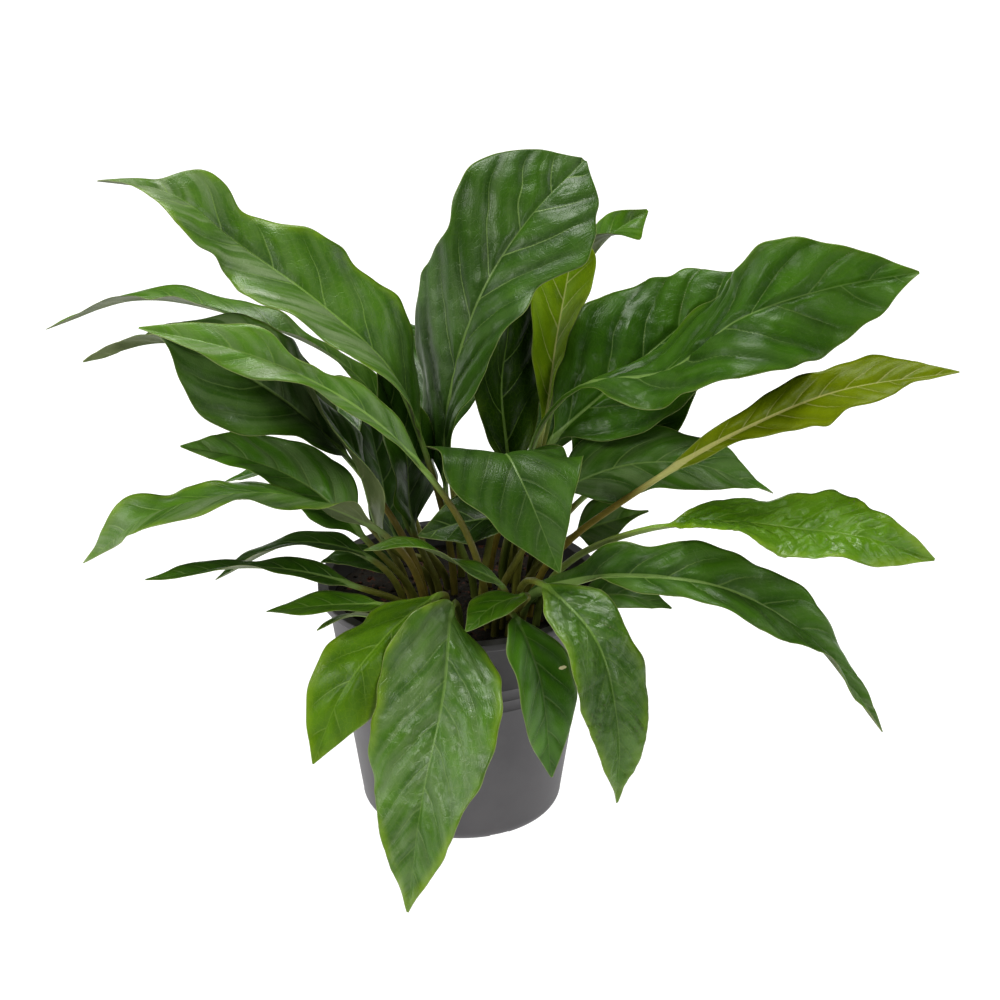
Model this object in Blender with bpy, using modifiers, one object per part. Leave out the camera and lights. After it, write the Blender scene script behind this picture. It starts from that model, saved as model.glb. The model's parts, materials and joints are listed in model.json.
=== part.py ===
# A potted foliage anthurium: nursery pot, potting soil and single leaves, each leaf one grown piece.
# World units are metres with +Z up; the origin is on the floor under the middle of the pot.
# +X is the plant's right as it is looked at from the front, and the front faces -Y.

import bpy
import bmesh
from math import cos, pi, radians, sin
from mathutils import Matrix, Vector

MM = 0.001
GAP = 0.0003

# Pot: a 21 cm nursery pot.
RIM_RADIUS = 0.105
POT_HEIGHT = 0.180
RIM_HEIGHT = 0.006
WALL_TOP_RADIUS = 0.0985
WALL_FOOT_RADIUS = 0.0745
WALL_THICKNESS = 0.0016
BASE_THICKNESS = 0.004
FOOT_CORNER = 0.010
POT_SEGMENTS = 40
RING_HEIGHTS = (0.126, 0.134)
RING_RAISE = 0.0006
DRAIN_HOLES = 6
DRAIN_HOLE_RADIUS = 0.005
DRAIN_CIRCLE_RADIUS = 0.045
FOOT_NOTCHES = 6
NOTCH_WIDTH = 0.016
NOTCH_HEIGHT = 0.0025
NOTCH_DEPTH = 0.016
NOTCH_TURN = 20

# Soil.
SOIL_TOP = 0.165
ROOT_DEPTH = 0.012

# Leaves.
STALK_RADIUS_ROOT = 0.0028
STALK_RADIUS_BLADE = 0.0022
BLADE_THICKNESS = 0.0008
RIB_DEPTH = 0.0016
TIP_WIDTH = 0.0016
BLADE_START_WIDTH = 0.006
STALK_TO_BLADE = 0.14
STALK_STEPS = 4
SECTION_LENGTH = 0.013
FEWEST_SECTIONS = 7
MOST_SECTIONS = 16
WIDE_BLADE = 0.040
WAVE_LENGTH = 0.080
USUAL_FOLD = 15
USUAL_WAVE = 3
HOLE_SIDES = 12

# One row for each leaf, in millimetres and degrees, read off the photo by its midrib and its margins.
# root: where the stalk leaves the soil, to the right and away from the front.
# heading: the compass direction of the blade, 0 to the right and 90 to the back.
# spine: the points that the midrib passes, the first at the foot of the blade, the last at its tip.
# roll: how far the blade is turned about its midrib, at even steps from foot to tip.
# widths: the blade's full width at even steps between foot and tip.
# fold: how far each half rises from the midrib. wave: height of the waves along each margin.
LEAVES = {
    "leaf_front_big": dict(
        root=(0, -50), heading=-100, roll=(-50, 20, 20), widths=(75, 95, 60), fold=5, wave=4,
        spine=((-5, -105, 210), (-10, -165, 175), (-25, -210, 115), (-35, -230, 40))
    ),
    "leaf_front_left": dict(
        root=(-10, -45), heading=-140, roll=(20, -5, -50), widths=(60, 65, 45), fold=5, wave=4,
        spine=((-15, -95, 215), (-45, -135, 210), (-80, -165, 175), (-100, -175, 125))
    ),
    "leaf_front_right": dict(
        root=(40, -45), heading=-60, roll=(15, -5, -5), widths=(45, 55, 40),
        spine=((60, -120, 235), (95, -165, 215), (110, -185, 155), (110, -185, 100))
    ),
    "leaf_front_middle": dict(
        root=(25, -55), heading=-60, roll=(-15, -10, 35), widths=(45, 50, 30),
        spine=((40, -110, 205), (55, -140, 180), (65, -150, 100))
    ),
    "leaf_front_small": dict(
        root=(35, -55), heading=-145, roll=(15, -5, -35), widths=(30, 35, 20), fold=10, wave=1.5,
        spine=((45, -95, 215), (25, -110, 215), (5, -130, 205))
    ),
    "leaf_left_tiny": dict(
        root=(-20, -50), heading=-165, roll=(35, 20, 5), widths=(10, 15, 15), fold=10, wave=1.5,
        spine=((-55, -90, 195), (-75, -95, 200), (-100, -100, 190))
    ),
    "leaf_left_low": dict(
        root=(-30, -45), heading=-170, roll=(-10, 0, 10), widths=(30, 30, 25), fold=10, wave=1.5,
        spine=((-55, -90, 205), (-90, -100, 210), (-135, -100, 205))
    ),
    "leaf_left_thin_lower": dict(
        root=(-35, -35), heading=-170, roll=(-35, 10, 0), widths=(25, 25, 25), fold=15, wave=1.5,
        spine=((-75, -60, 205), (-140, -80, 230), (-220, -90, 225))
    ),
    "leaf_left_thin_upper": dict(
        root=(-40, -25), heading=-175, roll=(-5, 10, 15), widths=(30, 30, 35), wave=1.5,
        spine=((-65, -45, 220), (-115, -40, 230), (-175, -50, 205))
    ),
    "leaf_left_stubby": dict(
        root=(-35, -15), heading=-170, roll=(0, 0), widths=(35, 40, 25), wave=1.5,
        spine=((-45, -10, 190), (-75, -20, 205), (-100, -30, 210))
    ),
    "leaf_centre_narrow": dict(
        root=(30, -45), heading=-165, roll=(-10, 0, 5), widths=(20, 20, 15), fold=10,
        spine=((30, -80, 215), (-5, -100, 245), (-35, -105, 260), (-65, -115, 260))
    ),
    "leaf_centre_under": dict(
        root=(25, -25), heading=-170, roll=(-10, -30, -60), widths=(40, 45, 25), wave=1.5,
        spine=((45, -45, 250), (10, -35, 245), (-30, -40, 235))
    ),
    "leaf_centre_arching": dict(
        root=(15, -15), heading=-70, roll=(-40, 10, 55), widths=(90, 100, 60), fold=10,
        spine=((30, -20, 265), (35, -70, 310), (45, -95, 300), (70, -130, 250))
    ),
    "leaf_left_long_stalk": dict(
        root=(20, -45), heading=-175, roll=(-15, -15, -40, -20), widths=(35, 25, 40, 30), fold=20,
        spine=((-20, -80, 300), (-70, -85, 355), (-140, -90, 395), (-215, -90, 415))
    ),
    "leaf_left_pale": dict(
        root=(-25, -35), heading=-175, roll=(70, 10, 0, -65), widths=(55, 55, 40), fold=0, wave=4,
        spine=((-55, -65, 250), (-90, -75, 275), (-140, -95, 295), (-200, -110, 290), (-265, -75, 230))
    ),
    "leaf_left_dark": dict(
        root=(-30, -25), heading=-170, roll=(-60, -20, -25), widths=(55, 60, 35),
        spine=((-70, -30, 230), (-105, -25, 265), (-155, -35, 295), (-195, -50, 310))
    ),
    "leaf_left_broad": dict(
        root=(-25, -15), heading=180, roll=(-10, -20, -45, 10, 60), widths=(70, 100, 60), wave=4,
        spine=((-75, 0, 270), (-105, -10, 310), (-145, -25, 350), (-205, -15, 375), (-265, -15, 360))
    ),
    "leaf_left_twisted": dict(
        root=(-10, 20), heading=175, roll=(5, 0, 30), widths=(35, 25, 45, 35), fold=20,
        spine=((-40, 15, 220), (-45, 25, 280), (-75, 40, 325),
               (-160, 45, 370), (-235, 65, 375), (-295, 20, 370))
    ),
    "leaf_left_high": dict(
        root=(-5, 10), heading=180, roll=(5, -15, -30, 10), widths=(90, 85, 60), fold=20, wave=4,
        spine=((-25, 5, 280), (-50, -5, 350), (-100, 10, 395),
               (-155, 30, 430), (-205, 30, 470), (-255, 40, 475))
    ),
    "leaf_left_inner": dict(
        root=(-20, 10), heading=-170, roll=(0, 0), widths=(55, 70, 45),
        spine=((-55, -15, 220), (-75, -35, 295), (-100, -25, 330), (-115, -20, 360))
    ),
    "leaf_inner_upright": dict(
        root=(-15, 0), heading=145, roll=(0, 0), widths=(45, 55, 35),
        spine=((-35, 5, 220), (-40, 5, 285), (-60, 15, 345))
    ),
    "leaf_inner_dark": dict(
        root=(-15, 40), heading=145, roll=(0, 0), widths=(50, 60, 40),
        spine=((-45, 25, 195), (-60, 45, 250), (-70, 55, 300))
    ),
    "leaf_centre_tall": dict(
        root=(10, 5), heading=45, roll=(-35, -25, -10, 30, 30), widths=(85, 120, 110), fold=10, wave=4,
        spine=((-10, 5, 240), (0, 30, 350), (20, 40, 400), (50, 60, 440), (90, 100, 470))
    ),
    "leaf_back_dark": dict(
        root=(20, 25), heading=95, roll=(-25, 45, 65), widths=(40, 70, 35), fold=20,
        spine=((35, 35, 245), (30, 65, 310), (35, 75, 350), (30, 110, 415))
    ),
    "leaf_back_bright": dict(
        root=(30, 20), heading=75, roll=(255, 235, 155), widths=(30, 55, 40),
        spine=((60, 40, 285), (70, 75, 345), (80, 100, 390), (90, 140, 430))
    ),
    "leaf_back_peeping": dict(
        root=(35, 30), heading=55, roll=(-55, -80, -70, 50), widths=(45, 65, 50), fold=20,
        spine=((65, 85, 270), (80, 130, 345), (105, 155, 385), (140, 175, 405))
    ),
    "leaf_right_upper": dict(
        root=(40, 15), heading=15, roll=(60, 35, 5), widths=(80, 110, 90), wave=4,
        spine=((65, 20, 280), (105, 35, 315), (155, 65, 350), (210, 85, 390))
    ),
    "leaf_right_broad": dict(
        root=(40, 5), heading=-10, roll=(0, 10, 20, 75, 55), widths=(90, 110, 80), fold=0, wave=4,
        spine=((85, 0, 335), (145, -20, 355), (195, -45, 405), (260, -40, 425), (315, -50, 440))
    ),
    "leaf_right_behind": dict(
        root=(50, 20), heading=20, roll=(55, 20), widths=(60, 80, 50),
        spine=((80, 25, 255), (115, 50, 280), (150, 55, 310), (180, 55, 350))
    ),
    "leaf_right_dark": dict(
        root=(40, -5), heading=-5, roll=(10, 25, -5), widths=(75, 60, 50), fold=5,
        spine=((65, -10, 250), (110, 0, 270), (170, -15, 280), (225, -20, 260))
    ),
    "leaf_right_narrow": dict(
        root=(50, -25), heading=-10, roll=(60, 35, 10), widths=(20, 40, 45), fold=10,
        spine=((140, -60, 290), (200, -75, 335), (255, -85, 365), (340, -95, 385))
    ),
    "leaf_right_small": dict(
        root=(40, -20), heading=-20, roll=(55, 45), widths=(35, 30, 10), wave=1.5,
        spine=((85, -15, 225), (110, -25, 240), (135, -30, 250))
    ),
    "leaf_right_puckered": dict(
        root=(55, -40), heading=-15, roll=(-15, 10, 60), widths=(60, 70, 45), fold=10, wave=5,
        spine=((135, -100, 270), (190, -110, 280), (230, -120, 280), (275, -145, 285), (325, -140, 265))
    ),
    "leaf_right_drooping": dict(
        root=(45, -35), heading=-20, roll=(60, 15, -10), widths=(50, 55, 40), fold=20, wave=4,
        spine=((80, -85, 220), (130, -125, 245), (185, -145, 245), (235, -145, 215), (295, -155, 140))
    ),
    "leaf_right_short": dict(
        root=(35, -30), heading=-20, roll=(55, 25, -5), widths=(25, 35, 20), wave=1.5,
        spine=((90, -50, 190), (120, -75, 205), (150, -85, 200))
    ),
    "leaf_rear_middle": dict(
        root=(0, 40), heading=90, roll=(0, 0), widths=(65, 75, 50),
        spine=((-10, 80, 250), (-15, 150, 295), (-20, 225, 285), (-25, 280, 240))
    ),
    "leaf_rear_left": dict(
        root=(-25, 40), heading=130, roll=(0, 0), widths=(55, 70, 45),
        spine=((-50, 70, 230), (-95, 115, 265), (-140, 165, 255), (-170, 200, 225))
    ),
    "leaf_rear_right": dict(
        root=(30, 40), heading=50, roll=(0, 0), widths=(55, 70, 45),
        spine=((55, 75, 235), (95, 120, 275), (135, 170, 270), (165, 210, 240))
    ),
    "leaf_rear_far_left": dict(
        root=(-40, 15), heading=155, roll=(0, 0), widths=(40, 50, 35), wave=1.5,
        spine=((-80, 35, 220), (-130, 60, 240), (-180, 85, 220))
    ),
    "leaf_rear_far_right": dict(
        root=(50, 10), heading=20, roll=(0, 0), widths=(40, 45, 30),
        spine=((90, 35, 230), (140, 60, 245), (215, 90, 220))
    ),
}


# Materials as seen in the photo.
LEAF_DARK = ((0.030, 0.110, 0.022), 0.38)
LEAF_GREEN = ((0.060, 0.190, 0.030), 0.38)
LEAF_BRIGHT = ((0.150, 0.330, 0.030), 0.42)
POT_PLASTIC = ((0.085, 0.082, 0.092), 0.55)
POTTING_SOIL = ((0.030, 0.022, 0.016), 0.95)
BRIGHT_LEAVES = ("leaf_back_bright", "leaf_right_narrow", "leaf_front_left", "leaf_left_tiny")
GREEN_LEAVES = ("leaf_right_puckered", "leaf_front_big", "leaf_front_small", "leaf_centre_narrow",
                "leaf_left_long_stalk", "leaf_left_high", "leaf_left_pale", "leaf_left_low")


def clear_scene():
    for thing in list(bpy.data.objects):
        bpy.data.objects.remove(thing, do_unlink=True)


def new_collection(name):
    made = bpy.data.collections.new(name)
    bpy.context.scene.collection.children.link(made)
    return made


def make_material(name, look):
    colour, roughness = look
    material = bpy.data.materials.new(name)
    material.use_nodes = True
    shader = material.node_tree.nodes["Principled BSDF"]
    shader.inputs["Base Color"].default_value = (*colour, 1.0)
    shader.inputs["Roughness"].default_value = roughness
    shader.inputs["Metallic"].default_value = 0.0
    return material


def add_object(name, mesh, collection, look=None):
    made = bpy.data.objects.new(name, mesh)
    collection.objects.link(made)
    if look is not None:
        mesh.materials.append(make_material(name + "_material", look))
    return made


def spun_object(name, profile, collection, look):
    # A turned body: a profile of (radius, height) points with a Screw modifier about Z.
    mesh = bpy.data.meshes.new(name)
    points = [(radius, 0.0, height) for radius, height in profile]
    edges = [(i, i + 1) for i in range(len(points) - 1)]
    mesh.from_pydata(points, edges, [])
    made = add_object(name, mesh, collection, look)
    screw = made.modifiers.new("Turn", "SCREW")
    screw.angle = 2 * pi
    screw.steps = POT_SEGMENTS
    screw.render_steps = POT_SEGMENTS
    screw.use_merge_vertices = True
    screw.merge_threshold = 0.00001
    screw.use_smooth_shade = True
    screw.use_normal_calculate = True
    return made


def upright_cutter(name, radius, bottom, top, places, collection, sides):
    # One cutter object with a cylinder at each place.
    shape = bmesh.new()
    for x, y in places:
        made = bmesh.ops.create_cone(
            shape, cap_ends=True, segments=sides, radius1=radius, radius2=radius, depth=top - bottom
        )
        bmesh.ops.translate(shape, verts=made["verts"], vec=(x, y, (top + bottom) / 2))
    mesh = bpy.data.meshes.new(name)
    shape.to_mesh(mesh)
    shape.free()
    made = add_object(name, mesh, collection)
    made.hide_render = True
    made.display_type = "WIRE"
    return made


def cut(body, cutter):
    boolean = body.modifiers.new("Cut " + cutter.name, "BOOLEAN")
    boolean.operation = "DIFFERENCE"
    boolean.solver = "EXACT"
    boolean.object = cutter


def turned(angle):
    return Matrix.Rotation(-angle, 3, "Z")


def around(count, radius, turn=0.0):
    angles = [radians(turn) + 2 * pi * i / count for i in range(count)]
    return [(radius * cos(a), radius * sin(a)) for a in angles]


def wall_radius(height):
    share = (height - FOOT_CORNER) / (POT_HEIGHT - RIM_HEIGHT - FOOT_CORNER)
    return WALL_FOOT_RADIUS + (WALL_TOP_RADIUS - WALL_FOOT_RADIUS) * share


def arc(middle, radius, start, end, steps):
    angles = [radians(start + (end - start) * i / steps) for i in range(steps + 1)]
    return [(middle[0] + radius * cos(a), middle[1] + radius * sin(a)) for a in angles]


def pot_profile():
    points = [(0.0, 0.0)]
    points += arc((WALL_FOOT_RADIUS - FOOT_CORNER, FOOT_CORNER), FOOT_CORNER, -90, 0, 4)
    for height in RING_HEIGHTS:
        side = wall_radius(height)
        points += [(side, height - 2 * RING_RAISE), (side + RING_RAISE, height)]
        points += [(side, height + 2 * RING_RAISE)]
    rim_bottom = POT_HEIGHT - RIM_HEIGHT
    points += [(WALL_TOP_RADIUS, rim_bottom), (RIM_RADIUS - RING_RAISE, rim_bottom)]
    points += [(RIM_RADIUS, rim_bottom + RING_RAISE), (RIM_RADIUS, POT_HEIGHT - RING_RAISE)]
    points += [(RIM_RADIUS - RING_RAISE, POT_HEIGHT)]
    points += [(WALL_TOP_RADIUS - WALL_THICKNESS, POT_HEIGHT)]
    points += [(WALL_TOP_RADIUS - WALL_THICKNESS, rim_bottom)]
    points += [(wall_radius(FOOT_CORNER) - WALL_THICKNESS, FOOT_CORNER)]
    points += [(WALL_FOOT_RADIUS - FOOT_CORNER, BASE_THICKNESS), (0.0, BASE_THICKNESS)]
    return points


def make_pot(collection, cutters):
    pot = spun_object("pot", pot_profile(), collection, POT_PLASTIC)
    holes = upright_cutter(
        "drain_holes", DRAIN_HOLE_RADIUS, -0.005, BASE_THICKNESS + 0.005,
        around(DRAIN_HOLES, DRAIN_CIRCLE_RADIUS), cutters, 12
    )
    cut(pot, holes)
    shape = bmesh.new()
    middle = WALL_FOOT_RADIUS
    for x, y in around(FOOT_NOTCHES, middle, NOTCH_TURN - 90):
        made = bmesh.ops.create_cube(shape, size=1.0)
        size = (NOTCH_DEPTH * 2, NOTCH_WIDTH, NOTCH_HEIGHT * 2)
        bmesh.ops.scale(shape, verts=made["verts"], vec=size)
        turn = Vector((x, y)).angle_signed(Vector((1.0, 0.0)))
        bmesh.ops.rotate(shape, verts=made["verts"], cent=(0, 0, 0), matrix=turned(turn))
        bmesh.ops.translate(shape, verts=made["verts"], vec=(x, y, 0))
    mesh = bpy.data.meshes.new("foot_notches")
    shape.to_mesh(mesh)
    shape.free()
    notches = add_object("foot_notches", mesh, cutters)
    notches.hide_render = True
    notches.display_type = "WIRE"
    cut(pot, notches)
    return pot


def make_soil(places, collection, cutters):
    bottom = BASE_THICKNESS + GAP
    inside = WALL_THICKNESS + GAP
    profile = [(0.0, bottom), (WALL_FOOT_RADIUS - FOOT_CORNER - GAP, bottom)]
    profile += [(wall_radius(FOOT_CORNER) - inside, FOOT_CORNER + GAP)]
    profile += [(wall_radius(SOIL_TOP) - inside, SOIL_TOP), (0.0, SOIL_TOP)]
    soil = spun_object("soil", profile, collection, POTTING_SOIL)
    radius = (STALK_RADIUS_ROOT + GAP) / cos(pi / HOLE_SIDES)
    holes = upright_cutter(
        "stalk_holes", radius, SOIL_TOP - ROOT_DEPTH - GAP, SOIL_TOP + 0.01, places, cutters, HOLE_SIDES
    )
    cut(soil, holes)
    return soil


def slopes_through(points):
    # Distances along the control points, and the slope of a smooth curve at each.
    distances = [0.0]
    for a, b in zip(points, points[1:]):
        distances.append(distances[-1] + (b - a).length)
    steps = [(b - a) / (b - a).length for a, b in zip(points, points[1:])]
    slopes = [steps[0]]
    for i in range(1, len(points) - 1):
        before = distances[i] - distances[i - 1]
        after = distances[i + 1] - distances[i]
        slopes.append(steps[i - 1].lerp(steps[i], before / (before + after)))
    slopes.append(steps[-1])
    return distances, slopes


def point_on_curve(points, distances, slopes, along):
    # Position and direction at a distance along the curve.
    i = 0
    while i < len(points) - 2 and along > distances[i + 1]:
        i += 1
    span = distances[i + 1] - distances[i]
    f = (along - distances[i]) / span
    place = points[i] * (2 * f**3 - 3 * f**2 + 1) + points[i + 1] * (3 * f**2 - 2 * f**3)
    place += (slopes[i] * (f**3 - 2 * f**2 + f) + slopes[i + 1] * (f**3 - f**2)) * span
    way = (points[i] * (6 * f**2 - 6 * f) + points[i + 1] * (6 * f - 6 * f**2)) / span
    way += slopes[i] * (3 * f**2 - 4 * f + 1) + slopes[i + 1] * (3 * f**2 - 2 * f)
    return place, way.normalized()


def blend(values, share):
    # A smooth value between evenly spaced ones.
    last = len(values) - 1
    x = min(max(share, 0.0), 1.0) * last
    i = min(int(x), last - 1)
    f = x - i
    slopes = []
    for k in (i, i + 1):
        low = max(k - 1, 0)
        high = min(k + 1, last)
        slopes.append((values[high] - values[low]) / (high - low))
    start = values[i] * (2 * f**3 - 3 * f**2 + 1) + slopes[0] * (f**3 - 2 * f**2 + f)
    return start + values[i + 1] * (3 * f**2 - 2 * f**3) + slopes[1] * (f**3 - f**2)


def blade_width(widths, share):
    # The outline: from the stalk's width, through the given widths, to the tip, with no overshoot.
    values = [BLADE_START_WIDTH] + [w * MM for w in widths] + [0.0]
    last = len(values) - 1
    rises = [b - a for a, b in zip(values, values[1:])]
    slopes = [0.6 * rises[0]]
    for a, b in zip(rises, rises[1:]):
        slopes.append(2 * a * b / (a + b) if a * b > 0 else 0.0)
    slopes.append(0.9 * rises[-1])
    x = min(max(share, 0.0), 1.0) * last
    i = min(int(x), last - 1)
    f = x - i
    width = values[i] * (2 * f**3 - 3 * f**2 + 1) + slopes[i] * (f**3 - 2 * f**2 + f)
    width += values[i + 1] * (3 * f**2 - 2 * f**3) + slopes[i + 1] * (f**3 - f**2)
    return max(width, TIP_WIDTH)


def smooth_step(x):
    x = min(max(x, 0.0), 1.0)
    return x * x * (3 - 2 * x)


def leaf_sections(row, number):
    # Rings of points from the buried end of the stalk to the tip of the blade.
    x, y = (v * MM for v in row["root"])
    points = [Vector((x, y, SOIL_TOP - ROOT_DEPTH)), Vector((x, y, SOIL_TOP))]
    points += [Vector(p) * MM for p in row["spine"]]
    distances, slopes = slopes_through(points)
    surface, foot, end = distances[1], distances[2], distances[-1]
    halves = 2 if max(row["widths"]) * MM > WIDE_BLADE else 1
    blade_steps = round((end - foot) / SECTION_LENGTH)
    blade_steps = min(max(blade_steps, FEWEST_SECTIONS), MOST_SECTIONS)
    heading = radians(row["heading"])
    across = Vector((-sin(heading), cos(heading), 0.0))
    rise = sin(radians(row.get("fold", USUAL_FOLD)))
    wave_height = row.get("wave", USUAL_WAVE) * MM
    wave_count = (end - foot) / WAVE_LENGTH
    lanes = [i / halves - 1 for i in range(2 * halves + 1)]
    ring = [(lane, 1) for lane in lanes] + [(lane, -1) for lane in reversed(lanes)]

    stations = [(0.0, 0.0)]
    stations += [(surface + (foot - surface) * i / STALK_STEPS, 0.0) for i in range(STALK_STEPS)]
    shares = [i / blade_steps for i in range(blade_steps + 1)]
    stations += [(foot + (end - foot) * share, share) for share in shares]

    sections = []
    for along, share in stations:
        place, way = point_on_curve(points, distances, slopes, along)
        if along == 0.0:
            way = Vector((0.0, 0.0, 1.0))
        side = (across - way * across.dot(way)).normalized()
        up = way.cross(side)
        roll = radians(blend(row["roll"], share))
        side, up = side * cos(roll) + up * sin(roll), up * cos(roll) - side * sin(roll)
        flat = smooth_step(share / STALK_TO_BLADE)
        grown = min(max((along - surface) / (foot - surface), 0.0), 1.0)
        stalk = STALK_RADIUS_ROOT + (STALK_RADIUS_BLADE - STALK_RADIUS_ROOT) * grown
        half = blade_width(row["widths"], share) / 2
        rib = RIB_DEPTH * (1 - share)
        section = []
        for k, (lane, face) in enumerate(ring):
            angle = pi - 2 * pi * (k + 0.5) / len(ring)
            turn = 2 * pi * wave_count * share + radians(40) * number + (2.0 if lane > 0 else 0.0)
            wave = wave_height * lane**2 * sin(turn) * max(sin(pi * share), 0.0) ** 0.5
            lift = half * rise * (1.3 * abs(lane) - 0.5 * lane**2) + wave + face * BLADE_THICKNESS / 2
            if lane == 0 and face < 0:
                lift -= rib
            a = stalk * cos(angle) * (1 - flat) + lane * half * flat
            b = stalk * sin(angle) * (1 - flat) + lift * flat
            section.append(place + side * a + up * b)
        sections.append(section)
    return sections


def make_leaf(name, row, number, collection, look):
    sections = leaf_sections(row, number)
    count = len(sections[0])
    top = count // 2
    shape = bmesh.new()
    rings = [[shape.verts.new(point) for point in section] for section in sections]
    for low, high in zip(rings, rings[1:]):
        for k in range(count):
            n = (k + 1) % count
            if k < top:
                shape.faces.new((low[k], low[n], high[n]))
                shape.faces.new((low[k], high[n], high[k]))
            else:
                shape.faces.new((low[k], low[n], high[k]))
                shape.faces.new((low[n], high[n], high[k]))
    for ends in (rings[0], rings[-1]):
        cap = shape.faces.new(ends)
        bmesh.ops.triangulate(shape, faces=[cap])
    bmesh.ops.recalc_face_normals(shape, faces=shape.faces)
    for face in shape.faces:
        face.smooth = True
    mesh = bpy.data.meshes.new(name)
    shape.to_mesh(mesh)
    shape.free()
    return add_object(name, mesh, collection, look)


def leaf_look(name):
    if name in BRIGHT_LEAVES:
        return LEAF_BRIGHT
    if name in GREEN_LEAVES:
        return LEAF_GREEN
    return LEAF_DARK


clear_scene()
plant = new_collection("potted_anthurium")
cutters = new_collection("cutters")
make_pot(plant, cutters)
make_soil([(row["root"][0] * MM, row["root"][1] * MM) for row in LEAVES.values()], plant, cutters)
for number, (name, row) in enumerate(LEAVES.items()):
    make_leaf(name, row, number, plant, leaf_look(name))
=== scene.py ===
import json
from math import cos, pi, radians, sin
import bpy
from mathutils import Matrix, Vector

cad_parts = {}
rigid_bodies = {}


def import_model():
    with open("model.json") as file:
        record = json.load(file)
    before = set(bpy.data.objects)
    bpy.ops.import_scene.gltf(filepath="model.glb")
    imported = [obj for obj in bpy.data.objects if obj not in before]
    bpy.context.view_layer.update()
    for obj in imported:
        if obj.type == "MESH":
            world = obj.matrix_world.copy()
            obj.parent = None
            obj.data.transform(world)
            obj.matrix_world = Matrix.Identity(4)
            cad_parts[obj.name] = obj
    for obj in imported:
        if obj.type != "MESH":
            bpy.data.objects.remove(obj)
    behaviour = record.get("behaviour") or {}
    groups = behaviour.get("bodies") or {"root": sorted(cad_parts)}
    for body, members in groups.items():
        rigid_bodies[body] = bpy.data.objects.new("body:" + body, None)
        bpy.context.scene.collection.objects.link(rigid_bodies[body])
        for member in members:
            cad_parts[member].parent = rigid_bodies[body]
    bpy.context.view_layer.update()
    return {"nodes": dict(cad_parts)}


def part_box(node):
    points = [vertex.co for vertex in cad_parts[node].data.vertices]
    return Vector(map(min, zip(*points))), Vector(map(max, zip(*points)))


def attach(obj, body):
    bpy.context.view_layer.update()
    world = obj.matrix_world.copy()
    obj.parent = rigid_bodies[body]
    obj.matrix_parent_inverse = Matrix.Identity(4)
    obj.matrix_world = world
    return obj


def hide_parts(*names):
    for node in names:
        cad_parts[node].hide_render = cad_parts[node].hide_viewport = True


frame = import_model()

from types import SimpleNamespace

import bmesh
import bpy
import numpy as np
from mathutils import Vector

mm = 0.001
print("stage: frame loaded,", len(frame["nodes"]), "nodes")


studioLook = {
    "target": (0.0288, 0.0, 0.2446),     # the point the camera and the lamps face
    "distance": 2.2,
    "elevation": 25,                     # degrees above the floor
    "lens": 109.2,                       # mm
    "sensor": 36,                        # mm
    "worldStrength": 0.06,
    "floorSize": 16.0,
    "floorColour": (0.2, 0.2, 0.2),
    "floorRoughness": 0.9,
    "floorShine": 0.1,
    "floorGlow": 0.92,                   # keeps the floor as white as a paper sweep
    "lamps": (
        # name, place, width, watts, colour
        ("keyLamp", (-1.5, -1.5, 1.9), 0.75, 27, (1.0, 0.985, 0.96)),
        ("frontLamp", (1.1, -2.1, 1.2), 0.9, 15, (1.0, 1.0, 0.99)),
        ("topLamp", (0.0, 0.5, 2.0), 0.9, 24, (1.0, 1.0, 1.0)),
        ("leftLamp", (-2.2, 0.2, 1.2), 1.4, 20, (1.0, 1.0, 1.0)),
        ("rightLamp", (2.2, 0.3, 1.3), 1.4, 14, (1.0, 1.0, 1.0)),
    ),
}


def aimAt(thing, target):
    thing.rotation_euler = (Vector(target) - thing.location).to_track_quat("-Z", "Y").to_euler()


def addCamera(look):
    tilt = radians(look["elevation"])
    camera = bpy.data.objects.new("photoCamera", bpy.data.cameras.new("photoCamera"))
    bpy.context.scene.collection.objects.link(camera)
    camera.location = Vector(look["target"]) + Vector((0, -cos(tilt), sin(tilt))) * look["distance"]
    aimAt(camera, look["target"])
    camera.data.lens = look["lens"]
    camera.data.sensor_width = look["sensor"]
    bpy.context.scene.camera = camera


def addLamps(look):
    for name, place, size, watts, colour in look["lamps"]:
        lamp = bpy.data.lights.new(name, "AREA")
        lamp.shape = "DISK"
        lamp.size = size
        lamp.energy = watts
        lamp.color = colour
        holder = bpy.data.objects.new(name, lamp)
        bpy.context.scene.collection.objects.link(holder)
        holder.location = place
        aimAt(holder, look["target"])
    world = bpy.data.worlds.new("studioWorld")
    world.use_nodes = True
    world.node_tree.nodes["Background"].inputs["Color"].default_value = (1, 1, 1, 1)
    world.node_tree.nodes["Background"].inputs["Strength"].default_value = look["worldStrength"]
    bpy.context.scene.world = world


def addFloor(look):
    shape = bmesh.new()
    bmesh.ops.create_grid(shape, x_segments=1, y_segments=1, size=look["floorSize"] / 2)
    mesh = bpy.data.meshes.new("paperFloor")
    shape.to_mesh(mesh)
    shape.free()
    floor = bpy.data.objects.new("paperFloor", mesh)
    bpy.context.scene.collection.objects.link(floor)
    material = bpy.data.materials.new("whitePaper")
    material.use_nodes = True
    shader = material.node_tree.nodes["Principled BSDF"]
    shader.inputs["Base Color"].default_value = (*look["floorColour"], 1)
    shader.inputs["Roughness"].default_value = look["floorRoughness"]
    shader.inputs["Specular IOR Level"].default_value = look["floorShine"]
    shader.inputs["Emission Color"].default_value = (1, 1, 1, 1)
    shader.inputs["Emission Strength"].default_value = look["floorGlow"]
    mesh.materials.append(material)


bpy.context.scene.view_settings.view_transform = "Standard"
bpy.context.scene.view_settings.look = "Medium High Contrast"
addCamera(studioLook)
addLamps(studioLook)
addFloor(studioLook)
print("stage: camera, lamps and floor")


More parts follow.
